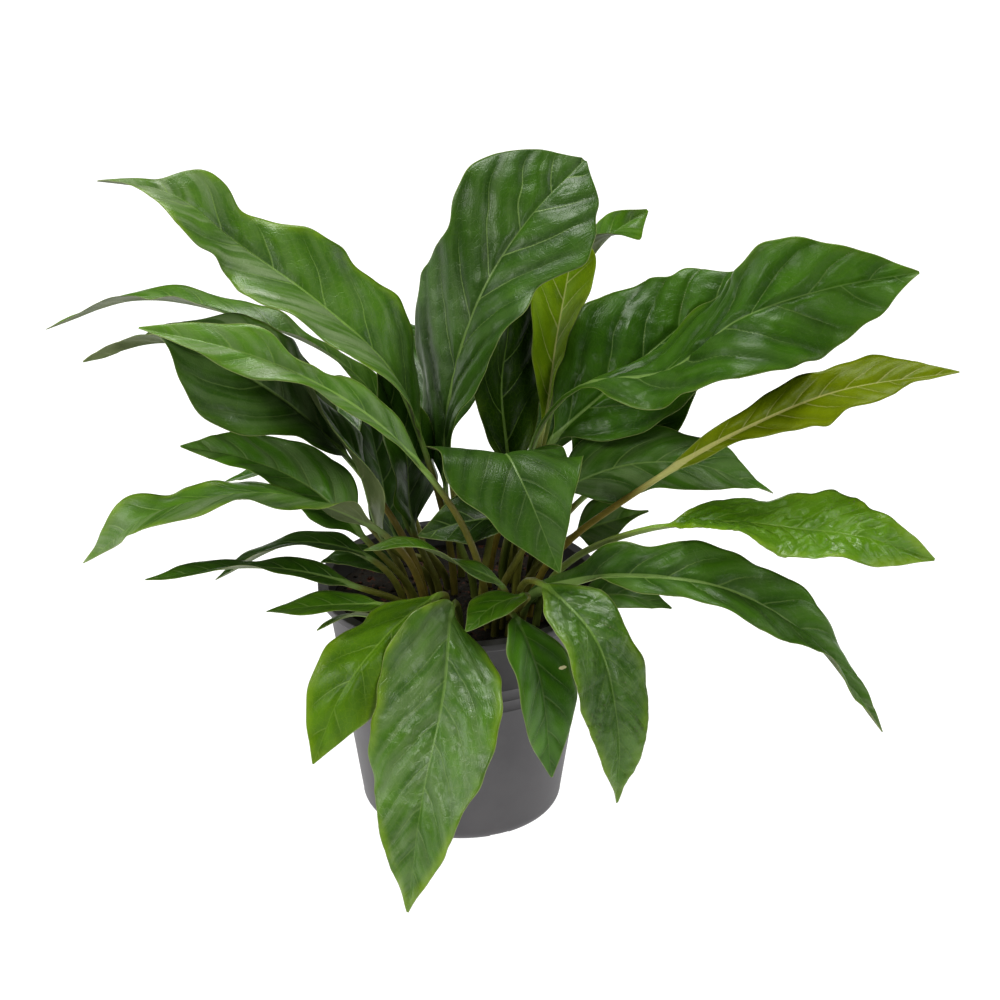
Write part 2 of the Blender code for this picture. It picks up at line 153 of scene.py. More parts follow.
def newMaterial(name, roughness):
    # The roughness is the plain value behind the one that each material's nodes work out.
    material = bpy.data.materials.new(name)
    material.use_nodes = True
    shader = material.node_tree.nodes["Principled BSDF"]
    shader.inputs["Roughness"].default_value = roughness
    return material, material.node_tree, shader


def put(tree, socket, value):
    # A socket takes a link, a number or a colour.
    if isinstance(value, bpy.types.NodeSocket):
        tree.links.new(value, socket)
    elif isinstance(value, (tuple, list)) and len(value) == 3 and socket.type == "RGBA":
        socket.default_value = (*value, 1)
    else:
        socket.default_value = value


def calc(tree, operation, a, b=0.0):
    node = tree.nodes.new("ShaderNodeMath")
    node.operation = operation
    for socket, value in zip(node.inputs, (a, b)):
        put(tree, socket, value)
    return node.outputs[0]


def times(tree, a, b):
    return calc(tree, "MULTIPLY", a, b)


def plus(tree, a, b):
    return calc(tree, "ADD", a, b)


def minus(tree, a, b):
    return calc(tree, "SUBTRACT", a, b)


def fade(tree, value, start, end, low=0.0, high=1.0):
    # Runs smoothly from low at start to high at end.
    node = tree.nodes.new("ShaderNodeMapRange")
    node.interpolation_type = "SMOOTHSTEP"
    for socket, setting in zip(node.inputs[:5], (value, start, end, low, high)):
        put(tree, socket, setting)
    return node.outputs[0]


def mixed(tree, share, a, b):
    # Colour a where the share is 0, b where it is 1.
    node = tree.nodes.new("ShaderNodeMix")
    node.data_type = "RGBA"
    put(tree, node.inputs[0], share)
    put(tree, node.inputs[6], a)
    put(tree, node.inputs[7], b)
    return node.outputs[2]


def mixedValue(tree, share, a, b):
    # The same for plain numbers.
    node = tree.nodes.new("ShaderNodeMix")
    node.data_type = "FLOAT"
    put(tree, node.inputs[0], share)
    put(tree, node.inputs[2], a)
    put(tree, node.inputs[3], b)
    return node.outputs[0]


def noiseOf(tree, vector, scale, detail, roughness=0.55):
    node = tree.nodes.new("ShaderNodeTexNoise")
    put(tree, node.inputs["Vector"], vector)
    node.inputs["Scale"].default_value = scale
    node.inputs["Detail"].default_value = detail
    node.inputs["Roughness"].default_value = roughness
    return node.outputs[0]


def objectPlace(tree):
    return tree.nodes.new("ShaderNodeTexCoord").outputs["Object"]


def bumped(tree, shader, height, strength, distance):
    node = tree.nodes.new("ShaderNodeBump")
    node.inputs["Strength"].default_value = strength
    node.inputs["Distance"].default_value = distance
    put(tree, node.inputs["Height"], height)
    tree.links.new(node.outputs[0], shader.inputs["Normal"])


def addPiece(name, mesh, material, node):
    piece = bpy.data.objects.new(name, mesh)
    bpy.context.scene.collection.objects.link(piece)
    mesh.materials.append(material)
    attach(piece, "root")
    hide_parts(node)


potLook = {
    "height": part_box("pot")[1].z,
    "rimRadius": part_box("pot")[1].x,
    "rimHeight": 0.006,
    "lip": 0.0011,                      # radius of the rim's rounded edges
    "mouthBevel": 0.0006,
    "wallTopRadius": 0.0985,
    "wallFootRadius": 0.0745,
    "wall": 0.0016,
    "base": 0.004,
    "footCorner": 0.010,
    "lines": (0.1155, 0.125, 0.1345),   # heights of the three fine raised lines
    "lineRaise": 0.0003,
    # Section of a raised line: how far up and how far out, in raises.
    "lineShape": ((-2.4, 0), (-1, 0.8), (0, 1), (1, 0.8), (2.4, 0)),
    "drainHoles": 6,
    "drainRadius": 0.005,
    "drainCircle": 0.045,
    "drainCut": 0.03,                   # height of the cutters, well past the base
    "drainSegments": 32,
    "notches": 6,
    "notchTurn": 24,                    # degrees from the front to the first notch
    "notchSize": (0.032, 0.016, 0.007),
    "segments": 144,
    "sharpAngle": 40,                   # degrees, the turn above which an edge stays sharp
    "colour": (0.073, 0.069, 0.074),
    "paleColour": (0.098, 0.094, 0.098),
    "clouds": 18,                       # scales of the cloudy, rubbed and grainy patterns
    "rubs": 60,
    "grain": 1400,
    "grainStrength": 0.12,
    "grainDepth": 0.0003,
    "roughness": 0.5,
    "roughRange": (0.45, 0.58),
}


def wallRadius(look, height):
    share = (height - look["footCorner"]) / (look["height"] - look["rimHeight"] - look["footCorner"])
    return look["wallFootRadius"] + (look["wallTopRadius"] - look["wallFootRadius"]) * share


def arcPoints(middle, radius, start, end, steps):
    angles = [radians(start + (end - start) * i / steps) for i in range(steps + 1)]
    return [(middle[0] + radius * cos(a), middle[1] + radius * sin(a)) for a in angles]


def potProfile(look):
    corner = look["footCorner"]
    points = [(0.0, 0.0)]
    points += arcPoints((look["wallFootRadius"] - corner, corner), corner, -90, 0, 10)
    raised = look["lineRaise"]
    for height in look["lines"]:
        side = wallRadius(look, height)
        points += [(side + out * raised, height + up * raised) for up, out in look["lineShape"]]
    top, rimBottom = look["height"], look["height"] - look["rimHeight"]
    lip, bevel = look["lip"], look["mouthBevel"]
    points += [(look["wallTopRadius"], rimBottom), (look["rimRadius"] - lip / 2, rimBottom)]
    points += arcPoints((look["rimRadius"] - lip, rimBottom + lip), lip, -45, 0, 3)
    points += arcPoints((look["rimRadius"] - lip, top - lip), lip, 0, 90, 4)
    inner = look["wallTopRadius"] - look["wall"]
    points += [(inner + bevel, top), (inner, top - bevel), (inner, rimBottom)]
    points += [(wallRadius(look, corner) - look["wall"], corner)]
    points += [(look["wallFootRadius"] - corner, look["base"]), (0.0, look["base"])]
    return points


def cutterObject(name, shape):
    mesh = bpy.data.meshes.new(name)
    shape.to_mesh(mesh)
    shape.free()
    cutter = bpy.data.objects.new(name, mesh)
    bpy.context.scene.collection.objects.link(cutter)
    return cutter


def drainCutter(look):
    shape = bmesh.new()
    for i in range(look["drainHoles"]):
        angle = 2 * pi * i / look["drainHoles"]
        made = bmesh.ops.create_cone(
            shape, cap_ends=True, segments=look["drainSegments"],
            radius1=look["drainRadius"], radius2=look["drainRadius"], depth=look["drainCut"]
        )
        place = (look["drainCircle"] * cos(angle), look["drainCircle"] * sin(angle), 0)
        bmesh.ops.translate(shape, verts=made["verts"], vec=place)
    return cutterObject("drainCutter", shape)


def notchCutter(look):
    shape = bmesh.new()
    for i in range(look["notches"]):
        angle = 2 * pi * i / look["notches"] + radians(look["notchTurn"] - 90)
        turn = Vector((cos(angle), sin(angle), 0))
        made = bmesh.ops.create_cube(shape, size=1.0)
        bmesh.ops.scale(shape, verts=made["verts"], vec=look["notchSize"])
        spin = turn.to_track_quat("X", "Z").to_matrix()
        bmesh.ops.rotate(shape, verts=made["verts"], cent=(0, 0, 0), matrix=spin)
        bmesh.ops.translate(shape, verts=made["verts"], vec=turn * look["wallFootRadius"])
    return cutterObject("notchCutter", shape)


def potPlastic(look):
    # Matt moulded charcoal plastic, a little paler where it is rubbed.
    material, tree, shader = newMaterial("charcoalPlastic", look["roughness"])
    place = objectPlace(tree)
    cloud = noiseOf(tree, place, look["clouds"], 4)
    rubbed = fade(tree, noiseOf(tree, place, look["rubs"], 5), 0.5, 0.75, 0, 0.5)
    colour = mixed(tree, fade(tree, cloud, 0.35, 0.7), look["colour"], look["paleColour"])
    put(tree, shader.inputs["Base Color"], mixed(tree, rubbed, colour, look["paleColour"]))
    put(tree, shader.inputs["Roughness"], fade(tree, cloud, 0.3, 0.7, *look["roughRange"]))
    grain = noiseOf(tree, place, look["grain"], 2)
    bumped(tree, shader, grain, look["grainStrength"], look["grainDepth"])
    return material


def makePot(look):
    # The profile is turned round the upright axis, then the holes and notches are cut.
    profile = potProfile(look)
    edges = [(i, i + 1) for i in range(len(profile) - 1)]
    mesh = bpy.data.meshes.new("potProfile")
    mesh.from_pydata([(r, 0, z) for r, z in profile], edges, [])
    body = bpy.data.objects.new("potBlank", mesh)
    bpy.context.scene.collection.objects.link(body)
    screw = body.modifiers.new("turn", "SCREW")
    screw.steps = look["segments"]
    screw.render_steps = look["segments"]
    screw.use_merge_vertices = True
    screw.merge_threshold = 0.00001
    screw.use_normal_calculate = True
    cutters = [drainCutter(look), notchCutter(look)]
    for cutter in cutters:
        cut = body.modifiers.new(cutter.name, "BOOLEAN")
        cut.operation = "DIFFERENCE"
        cut.solver = "EXACT"
        cut.object = cutter
    graph = bpy.context.evaluated_depsgraph_get()
    made = bpy.data.meshes.new_from_object(body.evaluated_get(graph))
    made.name = "potBody"
    for thing in cutters + [body]:
        bpy.data.objects.remove(thing, do_unlink=True)
    made.materials.clear()
    made.shade_smooth()
    made.set_sharp_from_angle(angle=radians(look["sharpAngle"]))
    addPiece("potBody", made, potPlastic(look), "pot")


makePot(potLook)
print("stage: pot")


soilLook = {
    "top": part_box("soil")[1].z,
    "bottom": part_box("soil")[0].z,
    "gap": 0.0003,                # between the soil and the pot
    "rings": 56,
    "segments": 180,
    "rough": 0.0022,              # how far the soil rises and falls
    "crumbs": 260,
    "crumbSize": (0.0012, 0.0034),
    "crumbEdge": 0.005,           # how far the crumbs keep from the wall
    "seed": 7,                    # another number strews the crumbs another way
    "dark": (0.006, 0.005, 0.003),
    "brown": (0.020, 0.012, 0.006),
    "red": (0.110, 0.034, 0.014),
    "grain": 420,                 # scales of the grain and of the red flecks
    "flecks": 150,
    "swells": 260,                # scales of the rise and fall
    "lumps": 900,
    "grainStrength": 0.8,
    "grainDepth": 0.0012,
    "roughness": 0.95,
    "roughRange": (0.8, 1.0),
}


def wavy(x, y, scale, turn):
    # A sum of slanted waves, used as a plain, repeatable noise.
    total = 0.0
    for i in range(1, 5):
        angle = turn + 2.4 * i
        step = scale * (0.7 + 0.45 * i)
        total = total + np.sin((x * cos(angle) + y * sin(angle)) * step + 1.7 * i * turn) / i
    return total / 2.1


def soilMaterial(look):
    material, tree, shader = newMaterial("pottingSoil", look["roughness"])
    place = objectPlace(tree)
    grain = noiseOf(tree, place, look["grain"], 4)
    flecks = fade(tree, noiseOf(tree, place, look["flecks"], 3), 0.56, 0.7)
    colour = mixed(tree, fade(tree, grain, 0.35, 0.7), look["dark"], look["brown"])
    put(tree, shader.inputs["Base Color"], mixed(tree, flecks, colour, look["red"]))
    put(tree, shader.inputs["Roughness"], fade(tree, grain, 0.3, 0.7, *look["roughRange"]))
    bumped(tree, shader, grain, look["grainStrength"], look["grainDepth"])
    return material


def addCrumbs(shape, look, radius):
    # Crumbs half sunk into the top.
    random = np.random.RandomState(look["seed"])
    small, large = look["crumbSize"]
    for i in range(look["crumbs"]):
        reach = (radius - look["crumbEdge"]) * random.rand() ** 0.5
        angle = random.rand() * 2 * pi
        size = small + (large - small) * random.rand() ** 2
        made = bmesh.ops.create_icosphere(shape, subdivisions=1, radius=size)
        stretch = (0.7 + random.rand(), 0.5 + 0.6 * random.rand(), 0.35 + 0.4 * random.rand())
        bmesh.ops.scale(shape, verts=made["verts"], vec=stretch)
        for corner in made["verts"]:
            corner.co *= 0.85 + 0.3 * random.rand()
        spin = Vector(random.rand(3) - 0.5).to_track_quat("Z", "Y").to_matrix()
        bmesh.ops.rotate(shape, verts=made["verts"], cent=(0, 0, 0), matrix=spin)
        height = look["top"] - look["rough"] * 0.8
        place = (reach * cos(angle), reach * sin(angle), height)
        bmesh.ops.translate(shape, verts=made["verts"], vec=place)


def makeSoil(look, pot):
    # Rings of points from the middle outwards, then down the wall to the base.
    clear = pot["wall"] + look["gap"]
    corner = pot["footCorner"]
    topRadius = wallRadius(pot, look["top"] - look["rough"]) - clear
    turns = np.arange(look["segments"]) * 2 * pi / look["segments"]
    loops = []
    for k in range(1, look["rings"] + 1):
        radius = topRadius * k / look["rings"]
        x, y = radius * np.cos(turns), radius * np.sin(turns)
        calm = 1 - (k / look["rings"]) ** 8
        rise = 0.55 * wavy(x, y, look["swells"], 1.3) + 0.45 * wavy(x, y, look["lumps"], 0.4)
        rise = look["rough"] * rise * calm
        loops.append(np.stack([x, y, look["top"] - look["rough"] + rise], 1))
    for radius, height in (
        (wallRadius(pot, corner) - clear, corner + look["gap"]),
        (pot["wallFootRadius"] - corner - look["gap"], look["bottom"]),
    ):
        loops.append(np.stack([radius * np.cos(turns), radius * np.sin(turns), turns * 0 + height], 1))
    shape = bmesh.new()
    rings = [[shape.verts.new(p) for p in loop] for loop in loops]
    top = shape.verts.new((0, 0, look["top"] - look["rough"]))
    base = shape.verts.new((0, 0, look["bottom"]))
    count = look["segments"]
    for i in range(count):
        n = (i + 1) % count
        shape.faces.new((top, rings[0][i], rings[0][n]))
        shape.faces.new((base, rings[-1][n], rings[-1][i]))
        for low, high in zip(rings, rings[1:]):
            shape.faces.new((low[i], high[i], high[n], low[n]))
    addCrumbs(shape, look, topRadius)
    for face in shape.faces:
        face.smooth = True
    mesh = bpy.data.meshes.new("soilBody")
    shape.to_mesh(mesh)
    shape.free()
    addPiece("soilBody", mesh, soilMaterial(look), "soil")


makeSoil(soilLook, potLook)
print("stage: soil")


# The CAD leaf is a tube of rings, each with its upper points and then its lower points.
# Its rings are read from the frame, and a finer leaf is drawn through them.
leafShape = {
    "stalkRings": 5,            # rings along the stalk, the buried one among them
    "stalkSteps": 14,           # fine rings along the stalk
    "flatten": 0.14,            # share of the blade over which the round stalk turns flat
    "cadHalf": 0.4 * mm,        # half the CAD blade's thickness
    "half": 0.28 * mm,          # half the real blade's thickness, at the midrib
    "edgeHalf": 0.13 * mm,      # and at the margin
    "ribDepth": 1.6 * mm,
    "ribWidth": 1.5 * mm,
    "groove": 0.4 * mm,         # depth above the midrib, for each mm of pucker
    "grooveWidth": 2.4 * mm,
    "ruffle": 0.9 * mm,         # small waves of the margin
    "ruffleLength": 6.5 * mm,
    "step": 1.5 * mm,           # spacing of the fine rings
    "lane": 2.3 * mm,           # spacing of the fine lanes
    "crowding": 1.3,            # 1 for even lanes, more to crowd them at the midrib
    "slant": 1.05,              # how far a side vein runs forward for each step outwards
    "sweep": 0.6,               # and how much more towards the margin
    "stagger": 0.45,            # left veins start this much before the right ones, in spacings
    # Unevenness of the outline, as shares of its half width, and the length of each wave.
    "outlineWaves": ((0.016, 4.1 * mm), (0.022, 11 * mm)),
    # How far the veins wander: by patches, by waves along and by waves across the blade.
    "drift": ((2.2 * mm, 16 * mm), (1.3 * mm, 17 * mm), (0.9 * mm, 9 * mm)),
}

# Colours of the five kinds of leaf. A blade runs in patches from deep to light. The backlit colours are
# painted light, the glow of a leaf lit through from behind, and the olive ones hold some of that
# painted light too.
leafColours = {
    "dark": dict(
        deep=(0.015, 0.050, 0.002), light=(0.046, 0.124, 0.005),
        margin=(0.090, 0.165, 0.008), vein=(0.180, 0.270, 0.080)
    ),
    "green": dict(
        deep=(0.022, 0.075, 0.002), light=(0.074, 0.182, 0.006),
        margin=(0.170, 0.280, 0.008), vein=(0.190, 0.300, 0.070)
    ),
    "bright": dict(
        deep=(0.042, 0.108, 0.001), light=(0.100, 0.210, 0.006),
        margin=(0.230, 0.350, 0.010), vein=(0.230, 0.350, 0.070)
    ),
    # an olive leaf's colour, brightened in part with painted light for a leaf lit through from behind
    "olive": dict(
        deep=(0.085, 0.122, 0.001), light=(0.150, 0.200, 0.002),
        margin=(0.230, 0.270, 0.004), vein=(0.420, 0.400, 0.170)
    ),
    # painted light: bright yellow-green for a leaf lit through from behind
    "backlit": dict(
        deep=(0.150, 0.270, 0.001), light=(0.260, 0.410, 0.003),
        margin=(0.330, 0.400, 0.010), vein=(0.560, 0.580, 0.230)
    ),
}

# What the skins of all leaves share.
leafSkin = {
    "sheen": (0.185, 0.250, 0.120),       # painted sheen: the grey-green of soft reflections on the leaves
    "rim": (0.260, 0.300, 0.110),         # the thin, hard edge of the margin
    "rimWidth": 0.8 * mm,
    "border": 9 * mm,                     # how far the margin's colour reaches inwards
    "underDeep": (0.085, 0.115, 0.040),
    "underLight": (0.150, 0.180, 0.080),
    "underVein": (0.220, 0.250, 0.130),
    "greenStalk": ((0.095, 0.150, 0.022), (0.170, 0.230, 0.048)),
    "brownStalk": ((0.110, 0.066, 0.014), (0.250, 0.125, 0.022)),
    "scratch": (0.68, 0.62, 0.38),
    "scratchSize": (0.012, 0.15),         # shares of the blade's length and half width
    "veinWidth": (1.3, 0.6),              # mm, at the midrib and at the margin
    "ribTip": 0.25 * mm,                  # half width of the midrib near the tip
    # Scales of the patterns, larger for finer ones.
    "patches": 26,
    "borderPatches": 38,
    "glossPatches": 55,
    "streaks": 130,
    "dents": 150,
    "net": 190,
    "grain": 260,
    "scratchEdge": 700,
    "pores": 1500,
    "grainAlong": 420,                    # the grain that runs with the side veins
    "grainAcross": 130,
    "reliefStrength": 0.5,
    "reliefDepth": 0.5 * mm,
    "roughness": 0.36,
    "roughRange": (0.31, 0.43),
    "underRoughness": 0.55,
    "shine": 0.35,
    "coat": 0.05,
    "coatRoughness": 0.22,
}

# kind: which colours. pucker: height of the swellings between the side veins, in mm.
# spacing: mm between side veins. wrinkle: how far small dents take over from even swellings.
# pale: how strongly the side veins show. rib: how strongly the midrib does.
# ribWide: half width of the midrib at the foot of the blade, in mm.
# tip: how much lighter the tip is. edge: strength of the pale margin.
# toneAndLight: brightness of the whole leaf, partly its own tone and partly painted light and shade for
# how much light reaches it. gloss: share of the usual shine.
# paintedSheen: strength of the painted sheen, grey-green streaks that stand in for soft reflections, on
# the right half, the left half and the tip.
# stalk: 0 for a green stalk to 1 for an orange-brown one.
# under: 1 where the underside takes the top's colours, painted light for a leaf lit through from
# behind, 0 where it has its own duller colours.
# spot: where a dry scratch is, as a share of the blade and of its left half.
# foot: extra half width in mm beside the foot of the blade, right and left of the way it grows.
# wing: where that starts, as a share of the blade. Less than 0 is on the stalk.
# ragged: share of the usual unevenness of the outline.
# bumps: (share of the blade, spread, mm to the right, mm to the left) added to the outline.
# curls: the same, for how far the margins are raised.
usualLeaf = dict(
    kind="dark", pucker=1.4, spacing=24, wrinkle=0.3, pale=0.5, rib=0.65, ribWide=1.25, tip=0.2,
    edge=0.25, toneAndLight=1, gloss=1, paintedSheen=(0, 0, 0), stalk=0.5, under=0, spot=None, foot=(0, 0),
    wing=0, ragged=1, bumps=(), curls=()
)
leafLooks = {
    "leaf_front_big": dict(
        kind="green", pucker=2.6, spacing=30, wrinkle=0.55, pale=0.25, rib=0.35, edge=0.95, toneAndLight=1.1,
        gloss=1.1, paintedSheen=(0.4, 0.3, 0.1), stalk=0.2, foot=(14, 2), curls=((0.15, 0.25, 5, 0),)
    ),
    "leaf_front_left": dict(
        kind="bright", pucker=2.0, spacing=34, pale=0.3, rib=0.35, edge=0.4, toneAndLight=0.95, gloss=0.5,
        foot=(3, 0), bumps=((0.3, 0.2, 0, -17), (0.55, 0.13, -4, -13)), curls=((0.5, 0.3, 0, -28),)
    ),
    "leaf_front_right": dict(
        kind="green", pucker=2.4, spacing=16, wrinkle=1.0, pale=0.15, rib=0.4, tip=0.4, edge=0.6,
        gloss=0.9, paintedSheen=(0.2, 0.25, 0), foot=(5, 9),
        bumps=((0.35, 0.1, 0, -5), (0.75, 0.1, 0, -3), (0.5, 0.15, 6, 0))
    ),
    "leaf_front_middle": dict(
        pucker=1.8, pale=0.3, rib=0.3, edge=0.4, toneAndLight=1.8, spot=(0.365, 0.72), foot=(4, 4)
    ),
    "leaf_front_small": dict(kind="green", pucker=0.8, spacing=16, rib=0.4, edge=0.4, foot=(3, 3)),
    "leaf_left_tiny": dict(kind="bright", pucker=0.3, spacing=14, tip=0.5),
    "leaf_left_low": dict(kind="green", pucker=0.5, spacing=18),
    "leaf_left_thin_lower": dict(pucker=0.7, spacing=18, tip=0.5),
    "leaf_left_thin_upper": dict(pucker=0.7, spacing=18, tip=0.3),
    "leaf_centre_narrow": dict(kind="green", pucker=0.5, spacing=16, rib=0.4, stalk=0.6),
    "leaf_centre_under": dict(pucker=1.0, spacing=18, toneAndLight=0.6),
    "leaf_centre_arching": dict(
        pucker=0.5, spacing=26, pale=0.15, rib=0.6, tip=0.35, edge=0.15, toneAndLight=0.85, gloss=0.5,
        paintedSheen=(0.1, 0.1, 0.2),
        bumps=((0.12, 0.12, 0, -3), (0.32, 0.06, 8, 0), (0.64, 0.08, -8, 0), (0.42, 0.12, 0, -6)),
        curls=((0.13, 0.09, 0, 20), (0.38, 0.1, 0, -16), (0.5, 0.07, 0, -10))
    ),
    "leaf_left_long_stalk": dict(
        kind="green", pucker=1.5, spacing=34, pale=0.4, ribWide=1.8, tip=0.5, toneAndLight=1.1, gloss=0.8,
        paintedSheen=(0.4, 0.7, 0.4), stalk=0.7, bumps=((0.55, 0.07, -11, -4), (0.36, 0.06, 6, 0))
    ),
    "leaf_left_pale": dict(
        kind="green", pucker=1.3, spacing=34, rib=0.3, tip=0.6, edge=0.7, toneAndLight=0.9,
        paintedSheen=(0.1, 0.5, 0.6), stalk=0.9,
        bumps=((0.75, 0.08, 8, 0), (0.5, 0.06, -7, -5), (0.37, 0.05, 6, 11), (0.82, 0.12, 0, -9))
    ),
    "leaf_left_high": dict(
        kind="green", pucker=2.4, spacing=46, ribWide=1.8, edge=0.6, toneAndLight=0.95, gloss=0.9,
        paintedSheen=(0.2, 0.8, 1), stalk=0.8,
        bumps=(
            (0.62, 0.09, -11, -2), (0.8, 0.07, 3, 2), (0.42, 0.12, 5, 0), (0.7, 0.04, -8, 0),
            (0.77, 0.06, 0, 10), (0.54, 0.07, 0, 5), (0.865, 0.04, -10, 0), (0.95, 0.04, 2.5, 3)
        )
    ),
    "leaf_left_twisted": dict(
        kind="green", pucker=0.8, tip=0.5, paintedSheen=(0.3, 0.5, 0.1),
        bumps=((0.5, 0.2, -4, -4), (0.88, 0.06, 3, 9))
    ),
    "leaf_left_stubby": dict(pucker=3.0, spacing=26, stalk=0.7),
    "leaf_left_dark": dict(
        pucker=2.6, spacing=26, pale=0.45, edge=0.3, toneAndLight=1.9, gloss=0.6, paintedSheen=(0.5, 0.3, 0.5)
    ),
    "leaf_left_broad": dict(
        pucker=3.4, spacing=40, pale=0.35, rib=0.75, ribWide=1.8, toneAndLight=0.8, gloss=0.5,
        paintedSheen=(0.6, 0.2, 0), stalk=0.9, bumps=((0.3, 0.12, 0, -11), (0.5, 0.12, -15, 0))
    ),
    "leaf_inner_upright": dict(bumps=((0.2, 0.14, 10, 0),)),
    "leaf_back_dark": dict(
        kind="green", pucker=2.0, spacing=30, toneAndLight=0.42, gloss=0.3, stalk=0.9,
        bumps=((0.15, 0.15, 7, 0),)
    ),
    "leaf_back_bright": dict(
        kind="backlit", pucker=1.5, pale=0.45, rib=0.8, toneAndLight=0.8, gloss=0.25, stalk=0.1, under=1,
        foot=(3, 3), bumps=((0.85, 0.08, 0, -14),)
    ),
    "leaf_back_peeping": dict(
        kind="green", pucker=1.5, spacing=20, gloss=0.4, paintedSheen=(0.2, 0.2, 0),
        bumps=((0.84, 0.1, 12, 0),)
    ),
    "leaf_right_upper": dict(
        pucker=4.2, spacing=36, pale=0.35, toneAndLight=1.15, gloss=0.6, bumps=((0.77, 0.05, 0, -9),)
    ),
    "leaf_right_narrow": dict(
        kind="olive", pucker=1.6, spacing=20, pale=0.3, ribWide=2.0, toneAndLight=0.95, gloss=0.2, stalk=0.9,
        under=1,
        bumps=((0.6, 0.05, 8, -5), (0.75, 0.06, 0, 4), (0.86, 0.06, -10, 0), (0.3, 0.12, -3, 0))
    ),
    "leaf_right_puckered": dict(
        kind="bright", pucker=2.6, spacing=17, wrinkle=1.0, pale=0.3, rib=0.4, edge=0.6, toneAndLight=1.4,
        gloss=1.2, stalk=0.1, ragged=2,
        bumps=((0.93, 0.05, 1, 1), (0.5, 0.04, 0, -6), (0.28, 0.08, 7, 6), (0.65, 0.08, 3, 0))
    ),
    "leaf_right_drooping": dict(
        pucker=3.4, spacing=34, pale=0.4, rib=0.8, ribWide=2.0, tip=0.6, edge=0.3, toneAndLight=1.2, gloss=0.5,
        paintedSheen=(0.15, 0.15, 0.8), foot=(0, 9), wing=-0.2,
        bumps=(
            (0.14, 0.13, -12, 0), (0.33, 0.08, -7, 0), (0.24, 0.08, 0, -8), (0.5, 0.04, 4, 0),
            (0.78, 0.1, -6, -2)
        )
    ),
    "leaf_right_short": dict(
        spacing=22, toneAndLight=1.5, paintedSheen=(0.3, 0.3, 0.3), foot=(8, 5), wing=-0.3, bumps=((0.8, 0.15, 3, 3),)
    ),
    "leaf_right_small": dict(kind="green", pucker=1.0, spacing=20, toneAndLight=1.2, paintedSheen=(0.6, 0.6, 0.5)),
    "leaf_right_behind": dict(pucker=1.8, pale=0.6, tip=0.3, edge=0.4, gloss=0.5),
    "leaf_right_dark": dict(
        pucker=2.2, spacing=32, rib=0.5, tip=0.3, toneAndLight=1.25, gloss=0.5, paintedSheen=(0.5, 0.3, 0.4)
    ),
    "leaf_centre_tall": dict(
        pucker=3.2, spacing=38, pale=0.6, rib=0.8, ribWide=2.6, tip=0.1, edge=0.15, toneAndLight=0.95,
        gloss=0.75, paintedSheen=(0.1, 0.15, 0), stalk=0.15,
        bumps=(
            (0.93, 0.05, 11, 13), (0.86, 0.06, 4, 0), (0.5, 0.1, -6, 0), (0.64, 0.07, -15, -13),
            (0.85, 0.06, 0, 10)
        )
    ),
    "leaf_right_broad": dict(
        pucker=4.4, spacing=42, pale=0.3, rib=0.6, ribWide=1.8, tip=0.5, edge=0.5, toneAndLight=1.05,
        gloss=0.42, paintedSheen=(0.1, 0.05, 0), foot=(9, 0), wing=-0.12,
        bumps=((0.8, 0.08, 0, -5), (0.24, 0.07, -7, 0), (0.9, 0.06, 6, 0), (0.565, 0.075, 0, -15))
    ),
}


def orderRing(ring, other, way, last):
    # The first point has three edges to the next ring, the opposite one only one.
    links = {p: sum(e.other_vert(p) in other for e in p.link_edges) for p in ring}
    start = min(ring, key=links.get) if last else max(ring, key=links.get)
    inside = set(ring)

    def beside(p):
        edges = [e for e in p.link_edges if e.other_vert(p) in inside]
        outer = [e for e in edges if any(q in other for f in e.link_faces for q in f.verts)]
        return [e.other_vert(p) for e in outer]

    def middleOf(points):
        return sum((p.co for p in points), Vector())

    for step in beside(start):
        order = [start, step]
        while len(order) < len(ring):
            order.append(next(q for q in beside(order[-1]) if q is not order[-2]))
        half = len(order) // 2
        side = order[half - 1].co + order[half].co - order[0].co - order[-1].co
        upper = middleOf(order[:half]) - middleOf(order[half:])
        if way.cross(side).dot(upper) > 0:
            return order
    return order


def readRings(node):
    # Walks up the CAD leaf ring by ring, from the buried end of the stalk to the tip.
    shape = bmesh.new()
    shape.from_mesh(node.data)
    shape.transform(node.matrix_world)
    bmesh.ops.remove_doubles(shape, verts=shape.verts, dist=0.001 * mm)
    buried = min(p.co.z for p in shape.verts if p.co.xy.length < potLook["wallFootRadius"])
    ring = [p for p in shape.verts if abs(p.co.z - buried) < 0.01 * mm]
    rings, seen = [], set()
    while ring:
        seen.update(ring)
        rings.append(ring)
        ring = list({e.other_vert(p) for p in ring for e in p.link_edges} - seen)
    centres = [sum((p.co for p in ring), Vector()) / len(ring) for ring in rings]
    ordered = []
    for i, ring in enumerate(rings):
        last = i == len(rings) - 1
        other = rings[i - 1] if last else rings[i + 1]
        way = centres[i] - centres[i - 1] if last else centres[i + 1] - centres[i]
        ordered.append([tuple(p.co) for p in orderRing(ring, set(other), way, last)])
    shape.free()
    return np.array(ordered)


def lengths(rows):
    return np.sqrt((rows ** 2).sum(-1, keepdims=True))


